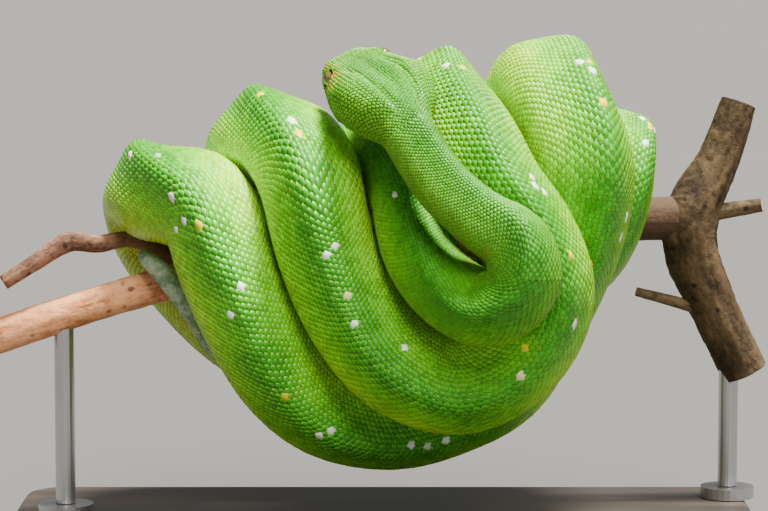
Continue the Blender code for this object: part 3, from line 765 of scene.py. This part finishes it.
def bodyCoat(name, c, seed):
    jitter = np.random.default_rng(seed).normal(0, 1, (len(c), 4))
    jitter[:, :3] *= rows["jitter"]
    s = c[:, 0] + c[:, 3] * jitter[:, 0]
    a = c[:, 1] + c[:, 2] * jitter[:, 1]
    size = c[:, 3] / rows["pitch"]
    obj = layPlates(name, s, a, c[:, 3] * rows["long"] / 2 * (1 + jitter[:, 2]),
                    c[:, 2] * rows["wide"] / 2,
                    rows["rise"] * np.minimum(1, 0.3 + 0.8 * size) * (1 + 0.06 * jitter[:, 3]),
                    rows["sink"], plate["flat"])
    return sum(len(p.vertices) - 2 for p in obj.data.polygons)


stops = [rows["start"], *rows["cuts"], rows["tailStart"]]
c = bodyRows(stops[0], stops[-1], rows["columns"])
counts = [bodyCoat(f"scales_body_{i}" if i else "scales_neck",
                   c[(c[:, 0] >= low) & (c[:, 0] < high)], i)
          for i, (low, high) in enumerate(zip(stops, stops[1:]))]
counts.append(bodyCoat("scales_tail", bodyRows(stops[-1], snake.length - 1.5, rows["tailColumns"]), 20))
print("body scales laid,", sum(counts), "triangles, most in one piece", max(counts))

# head scales: columns of them up to each length
headRows = {"pitch": 1.3, "rise": 0.20, "sink": -0.06, "snout": 6.0,
            "columns": ((3, 18), (8, 28), (15, 36), (99, 40))}
lip = {"first": 1.3, "last": 34.0, "off": 1.95, "rise": 0.34, "sink": -0.05,
       "rows": ((-1, 13, 1.75), (1, 14, 1.7))}   # above and below: how many, half width
eyeRing = {"count": 15, "radius": 3.55, "rise": 0.32, "sink": -0.04}


def headCoat():
    out, s, odd = [], 1.0, 0
    while s < rows["start"] + 0.4:
        half = next(count for end, count in headRows["columns"] if s < end)
        a = ((np.arange(half) + 0.5 * odd) / half * 2 - 1) * math.pi
        out.append(np.stack([np.full(half, s), a, np.full(half, math.pi / half),
                             np.full(half, headRows["pitch"])], 1))
        s += headRows["pitch"] / 2 * (0.75 if s < headRows["snout"] else 1)
        odd = 1 - odd
    c = np.vstack(out)
    s, a = c[:, 0], c[:, 1]
    reach = reachAt(s, a)
    off = (np.abs(a) - mouthAngle(s)) * reach
    # the lips, the belly plates, the eyes and the nostrils are left clear
    keep = ~((np.abs(off) < 3.4) & (s < lip["last"] + 1))
    keep &= ~((s > headShape["length"]) & (np.abs(a) > math.pi - rows["bellyHalf"]))
    p = surface(s, a, np.zeros(len(s)))
    for middle, outward, _, _ in eyes:
        d = p - middle
        high = (d * outward).sum(1)
        aside = np.linalg.norm(d - high[:, None] * outward, axis=1)
        keep &= ~((aside < headShape["eyeRadius"] + 1.1) & (high > -1))
    ns, na = relief["nostrilAt"]
    keep &= np.hypot(s - ns, (np.abs(a) - na) * reach) > 1.7
    c = c[keep]
    rng = np.random.default_rng(3)
    j = rng.normal(0, 1, (len(c), 3))
    layPlates("scales_head", c[:, 0] + 0.07 * j[:, 0], c[:, 1] + 0.05 * j[:, 1] * c[:, 2],
              c[:, 3] * 0.58, c[:, 2] * 0.68, headRows["rise"] * (1 + 0.12 * j[:, 2]),
              headRows["sink"], plate["domed"])
    # lip plates
    s, a, long, wides = [], [], [], []
    for side in (-1, 1):
        for below, count, wide in lip["rows"]:
            for k in range(count):
                at = lip["first"] + (lip["last"] - lip["first"]) * (k + 0.5) / count
                reach = reachAt(np.array([at]), np.array([side * mouthAngle(at)]))[0]
                s.append(at)
                a.append(side * (mouthAngle(at) + below * lip["off"] / reach))
                long.append(lip["last"] / count * 0.54)
                wides.append(wide / reach)
    layPlates("scales_lips", *map(np.array, (s, a, long, wides)), lip["rise"], lip["sink"],
              plate["domed"])
    # rings of small scales round the eyes
    s, a = [], []
    for side in (-1, 1):
        for k in range(eyeRing["count"]):
            turn = k / eyeRing["count"] * 2 * math.pi
            s.append(headShape["eyeAt"] * headShape["length"] + eyeRing["radius"] * math.cos(turn))
            a.append(side * (headShape["eyeAngle"] + eyeRing["radius"] * math.sin(turn) / 13.5))
    layPlates("scales_eye_rings", np.array(s), np.array(a), 0.72, 0.055,
              eyeRing["rise"], eyeRing["sink"], plate["domed"])


headCoat()
print("head scales laid")

# belly plates: one row of wide ones from the throat to the tail's tip
bellyRow = {"from": 52.0, "tip": 14.0, "pitch": 5.9, "across": 11, "along": 4,
            "half": 1.04, "overlap": 0.60, "bow": 0.15, "rise": 0.42, "root": -0.04, "skirt": -0.14}


def belly():
    s, at = [], bellyRow["from"]
    while at < snake.length - bellyRow["tip"]:
        s.append(at)
        at += bellyRow["pitch"] * (np.interp(at, snake.s, snake.girth) / 19) ** 0.85
    s = np.array(s)
    long = np.diff(np.r_[s, s[-1] + 2.0])[:, None, None]
    across, along = bellyRow["across"], bellyRow["along"]
    vv, uu = np.meshgrid(np.linspace(-1, 1, along), np.linspace(-1, 1, across), indexing="ij")
    sAll = s[:, None, None] + long * (bellyRow["overlap"] * vv[None] - bellyRow["bow"] * uu[None] ** 2)
    aAll = math.pi + uu[None] * rows["bellyHalf"] * bellyRow["half"] + 0 * sAll
    rise = (np.interp(s, snake.s, snake.girth) / 19 * bellyRow["rise"])[:, None, None]
    low, skirt = bellyRow["root"], bellyRow["skirt"]
    rim = (np.abs(uu) > 0.99) | (np.abs(vv) > 0.99)
    high = np.where(rim[None], skirt, low + (rise - low) * (0.5 + 0.5 * vv)[None])
    hind = (vv > 0.99) & (np.abs(uu) < 0.99)
    high = np.where(hind[None], rise, high)
    # a last row drops the hind edge to the skin
    sAll = np.concatenate([sAll, sAll[:, -1:] + 0.02], 1)
    aAll = np.concatenate([aAll, aAll[:, -1:]], 1)
    high = np.concatenate([high, np.full_like(high[:, -1:], skirt)], 1)
    along += 1
    points = surface(sAll, aAll, high - coatDepth).reshape(-1, 3)
    n, per = len(s), along * across
    quads = ringFaces(along, across, 0, False)
    flat = quads.ravel()
    corners = (flat[None] + (np.arange(n) * per)[:, None]).ravel()
    place = np.stack([np.repeat(s / snake.length, per), np.full(n * per, 0.97),
                      np.repeat(np.random.default_rng(5).random(n), per)], 1)
    v5 = np.concatenate([vv, np.full((1, across), 1.0)]).ravel()
    u5 = np.concatenate([uu, uu[-1:]]).ravel()
    shape = np.tile(np.stack([v5, u5 * 0.6, u5], 1), (n, 1))
    root = np.stack([0.03 + 0.94 * (s - s[0]) / (s[-1] - s[0]), np.full(n, 0.5)], 1)
    cell = np.stack([v5 * 0.8, u5], 1) * plate["patch"]
    uv = (root[:, None] + cell[None, flat]).reshape(-1, 2)
    obj = meshFrom("belly_plates", points, corners, np.full(len(quads) * n, 4), coatMat,
                   {"place": place, "mark": np.zeros((n * per, 3)), "shape": shape}, uv)
    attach(obj, "root")


belly()
print("belly plates laid")

# eyes
eyeLook = {"iris": (0.15, 0.10, 0.02), "rim": (0.08, 0.10, 0.02), "vein": (0.08, 0.03, 0.008),
           "pupil": (0.004, 0.004, 0.004), "edge": (0.01, 0.015, 0.005),
           "around": 40, "rings": 26, "cornea": 0.035}


def eyeMaterial():
    look = Look("eye", {"Roughness": 0.12, "Coat Weight": 1.0, "Coat Roughness": 0.02,
                        "Specular IOR Level": 0.6})
    out, ahead, up = look.stored("gaze")
    radius = (ahead * ahead + up * up) ** 0.5
    vein = look.grain(0.0006, 4.0, 0.7)
    colour = look.mix(radius.step(0.55, 0.85), eyeLook["iris"], eyeLook["rim"])
    colour = look.mix(vein.step(0.45, 0.75) * 0.7, colour, eyeLook["vein"])
    slit = 1 - (abs(ahead) + up * up * 0.30).step(0.11, 0.15)
    colour = look.mix(slit, colour, eyeLook["pupil"])
    colour = look.mix(radius.step(0.86, 0.93), colour, eyeLook["edge"])
    return look.wear(colour=colour)


eyeMat = eyeMaterial()
for name, (middle, outward, forward, up) in zip(("eye_left", "eye_right"), eyes):
    around, rings = eyeLook["around"], eyeLook["rings"]
    tilt = np.linspace(0, math.pi, rings)
    turn = np.linspace(0, 2 * math.pi, around, endpoint=False)
    z = np.cos(tilt)[1:-1, None] + 0 * turn[None]
    x = np.sin(tilt)[1:-1, None] * np.cos(turn)[None]
    y = np.sin(tilt)[1:-1, None] * np.sin(turn)[None]
    local = np.vstack([[[0, 0, 1]], np.stack([x, y, z], 2).reshape(-1, 3), [[0, 0, -1]]])
    bulge = 1 + eyeLook["cornea"] * np.exp(-((1 - local[:, 2]) / 0.35) ** 2)
    points = middle + headShape["eyeRadius"] * bulge[:, None] * (
        local[:, :1] * forward + local[:, 1:2] * up + local[:, 2:] * outward)
    quads = ringFaces(rings - 2, around, 1)
    k = np.arange(around)
    j = (k + 1) % around
    last = 1 + (rings - 3) * around
    caps = np.vstack([np.stack([0 * k, 1 + k, 1 + j], 1),
                      np.stack([last + j, last + k, 0 * k + len(points) - 1], 1)])
    quads = quads[:, ::-1]
    if np.linalg.det(np.stack([forward, up, outward])) < 0:
        quads, caps = quads[:, ::-1], caps[:, ::-1]
    obj = meshFrom(name + "_ball", points, np.r_[quads.ravel(), caps.ravel()],
                   np.r_[np.full(len(quads), 4), np.full(len(caps), 3)], eyeMat,
                   {"gaze": np.stack([local[:, 2], local[:, 0], local[:, 1]], 1)})
    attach(obj, "root")
    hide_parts(name)
print("eyes made")

# perch: bark over each limb, with sawn ends. ridge is the bark's relief in mm
barkWays = {
    "branch": {"tint": (0.44, 0.15, 0.055), "pale": (0.86, 0.40, 0.19),
               "ridge": 0.6, "dark": (0.72, 0.90)},   # it darkens over these shares of its length
    "trunk": {"tint": (0.030, 0.017, 0.007), "pale": (0.105, 0.066, 0.030), "ridge": 1.0},
    "twig": {"tint": (0.075, 0.032, 0.018), "pale": (0.34, 0.17, 0.10), "ridge": 0.4},
    "stub": {"tint": (0.036, 0.022, 0.010), "pale": (0.15, 0.10, 0.05), "ridge": 0.3},
    "spur": {"tint": (0.036, 0.022, 0.010), "pale": (0.15, 0.10, 0.05), "ridge": 0.4},
}


def barkMaterial(name, way):
    look = Look(name, {"Specular IOR Level": 0.25})
    tint, pale = way["tint"], way["pale"]
    along, depth, cut = look.stored("bark")
    coarse = look.grain(0.009, 4.0, 0.6)
    fine = look.grain(0.0016, 5.0, 0.65)
    colour = look.mix((coarse * 0.7 + depth * 0.6 + (fine - 0.5) * 0.7).step(0.35, 0.95), tint, pale)
    knots = 1 - (look.cells(0.0045) + (fine - 0.5) * 0.5).step(0.10, 0.34)
    knots = knots * look.grain(0.02, 2.0).step(0.42, 0.60) * 0.85
    colour = look.mix(knots, colour, tuple(0.25 * c for c in tint))
    if "dark" in way:
        colour = look.mix(along.step(*way["dark"]), colour, (0.075, 0.042, 0.022))
    rings = ((depth * 42 + (coarse - 0.5) * 5).sine() * 0.5 + 0.5) * 0.35
    wood = look.mix(rings, (0.62, 0.44, 0.25), (0.30, 0.17, 0.08))
    colour = look.mix(cut, colour, wood)
    normal = look.bump(fine * 0.7 + coarse * 0.6, 0.7, 0.0008)
    return look.wear(colour=colour, rough=0.72 + 0.2 * fine, normal=normal)


def limb(kind, way):
    name, stout = "perch_" + kind, kind in ("branch", "trunk")
    line = curve(perch[kind], 260 if stout else 90)
    t = unit(np.gradient(line[:, :3], axis=0))
    side = unit(np.cross(t, (0.12, 1.0, 0.05)))
    other = np.cross(t, side)
    n = 64 if stout else 30
    turn = np.linspace(0, 2 * math.pi, n, endpoint=False)
    ring = side[:, None] * np.cos(turn)[None, :, None] + other[:, None] * np.sin(turn)[None, :, None]
    dist = lengths(line)
    rough = np.zeros((len(line), n))
    for i in range(len(line)):
        for k in range(n):
            q = ring[i, k] * line[i, 3]
            p = Vector((dist[i] * 0.06, q[0] * 0.34 + q[1] * 0.25, q[2] * 0.34))
            rough[i, k] = (0.60 * noise.noise(p * 0.8) + 0.45 * abs(noise.noise(p * 2.4))
                           + 0.25 * noise.noise(p * 5.5))
    radius = line[:, 3, None] + way["ridge"] * (rough - 0.45)
    body = line[:, None, :3] + ring * radius[..., None]
    cuts = (0.86, 0.55, 0.25)   # rings of points over each sawn end, as shares of its radius
    head, foot = ([line[end, :3] + ring[end] * (radius[end] * k)[:, None] for k in cuts]
                  for end in (0, -1))
    points = np.vstack([*head[::-1], body.reshape(-1, 3), *foot, line[0, :3], line[-1, :3]])
    count = len(line) + 2 * len(cuts)
    quads = ringFaces(count, n)
    k = np.arange(n)
    j = (k + 1) % n
    last = (count - 1) * n
    tris = np.vstack([np.stack([j, k, 0 * k + len(points) - 2], 1),
                      np.stack([last + k, last + j, 0 * k + len(points) - 1], 1)])
    # along, then relief or radius, then 1 on a sawn end
    along = np.stack([np.repeat(dist / dist[-1], n), (rough + 0.5).ravel(), np.zeros(len(line) * n)], 1)
    sawn = [[(end, k, 1)] * n for end, order in ((0, cuts[::-1]), (1, cuts)) for k in order]
    data = np.vstack([*sawn[:len(cuts)], along, *sawn[len(cuts):], [[0, 0, 1], [1, 0, 1]]])
    obj = meshFrom(name + "_bark", points, np.r_[quads.ravel(), tris.ravel()],
                   np.r_[np.full(len(quads), 4), np.full(len(tris), 3)],
                   barkMaterial(name + "_look", way), {"bark": data})
    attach(obj, "root")
    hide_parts(name)


for kind, way in barkWays.items():
    limb(kind, way)
print("perch made")

# stand
def boardMaterial():
    look = Look("dark stained board", {"Coat Weight": 0.15, "Coat Roughness": 0.35})
    grain = look.grain(0.012, 5.0, 0.6, stretch=(0.08, 1.0, 1.0))
    pore = look.grain(0.0012, 3.0, 0.6, stretch=(0.03, 1.0, 1.0))
    colour = look.mix(grain.step(0.3, 0.75), (0.018, 0.014, 0.012), (0.055, 0.040, 0.030))
    colour = look.mix(pore.step(0.6, 0.75) * 0.5, colour, (0.008, 0.006, 0.005))
    return look.wear(colour=colour, rough=0.36 + 0.2 * grain, normal=look.bump(pore, 0.3, 0.0002))


def steelMaterial():
    look = Look("brushed steel", {"Metallic": 1.0})
    fine = look.grain(0.0008, 4.0, 0.6, stretch=(1.0, 1.0, 0.05))
    colour = look.mix(fine, (0.44, 0.44, 0.45), (0.60, 0.60, 0.61))
    return look.wear(colour=colour, rough=0.24 + 0.14 * fine, normal=look.bump(fine, 0.15, 0.0001))


boardMat, steelMat = boardMaterial(), steelMaterial()
for name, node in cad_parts.items():
    if name.startswith("stand_"):
        node.data.materials.clear()
        node.data.materials.append(boardMat if name == "stand_base" else steelMat)
print("stand finished")

# floor and light
def floorMaterial():
    look = Look("pale floor", {"Specular IOR Level": 0.2})
    soft = look.grain(0.35, 2.0)
    return look.wear(colour=look.mix(soft, (0.098, 0.096, 0.093), (0.108, 0.106, 0.102)),
                     rough=0.75 + 0.1 * soft)


floorCorners = np.array([(-60, -40, 0), (60, -40, 0), (60, 80, 0), (-60, 80, 0)]) / mm
floor = meshFrom("floor", floorCorners, np.arange(4), np.array([4]), floorMaterial(), smooth=False)

studio = {"tint": (1.0, 0.98, 0.94, 1), "power": 0.24}
world = bpy.data.worlds.new("studio")
world.use_nodes = True
background = world.node_tree.nodes["Background"].inputs
background[0].default_value, background[1].default_value = studio["tint"], studio["power"]
bpy.context.scene.world = world

lamps = {   # the way each light comes from, its width in degrees and its strength
    "key": {"from": (0.20, 0.0, 1.0), "wide": 16.0, "power": 16.5, "tint": (1.0, 0.97, 0.90)},
    "side": {"from": (0.25, -0.75, 0.85), "wide": 30.0, "power": 3.2, "tint": (1.0, 0.98, 0.93)},
}
for name, way in lamps.items():
    lamp = bpy.data.objects.new(name, bpy.data.lights.new(name, "SUN"))
    lamp.data.angle = math.radians(way["wide"])
    lamp.data.energy, lamp.data.color = way["power"], way["tint"]
    lamp.location = Vector(way["from"])
    lamp.rotation_euler = Vector(way["from"]).to_track_quat("Z", "Y").to_euler()
    bpy.context.scene.collection.objects.link(lamp)
print("lit")
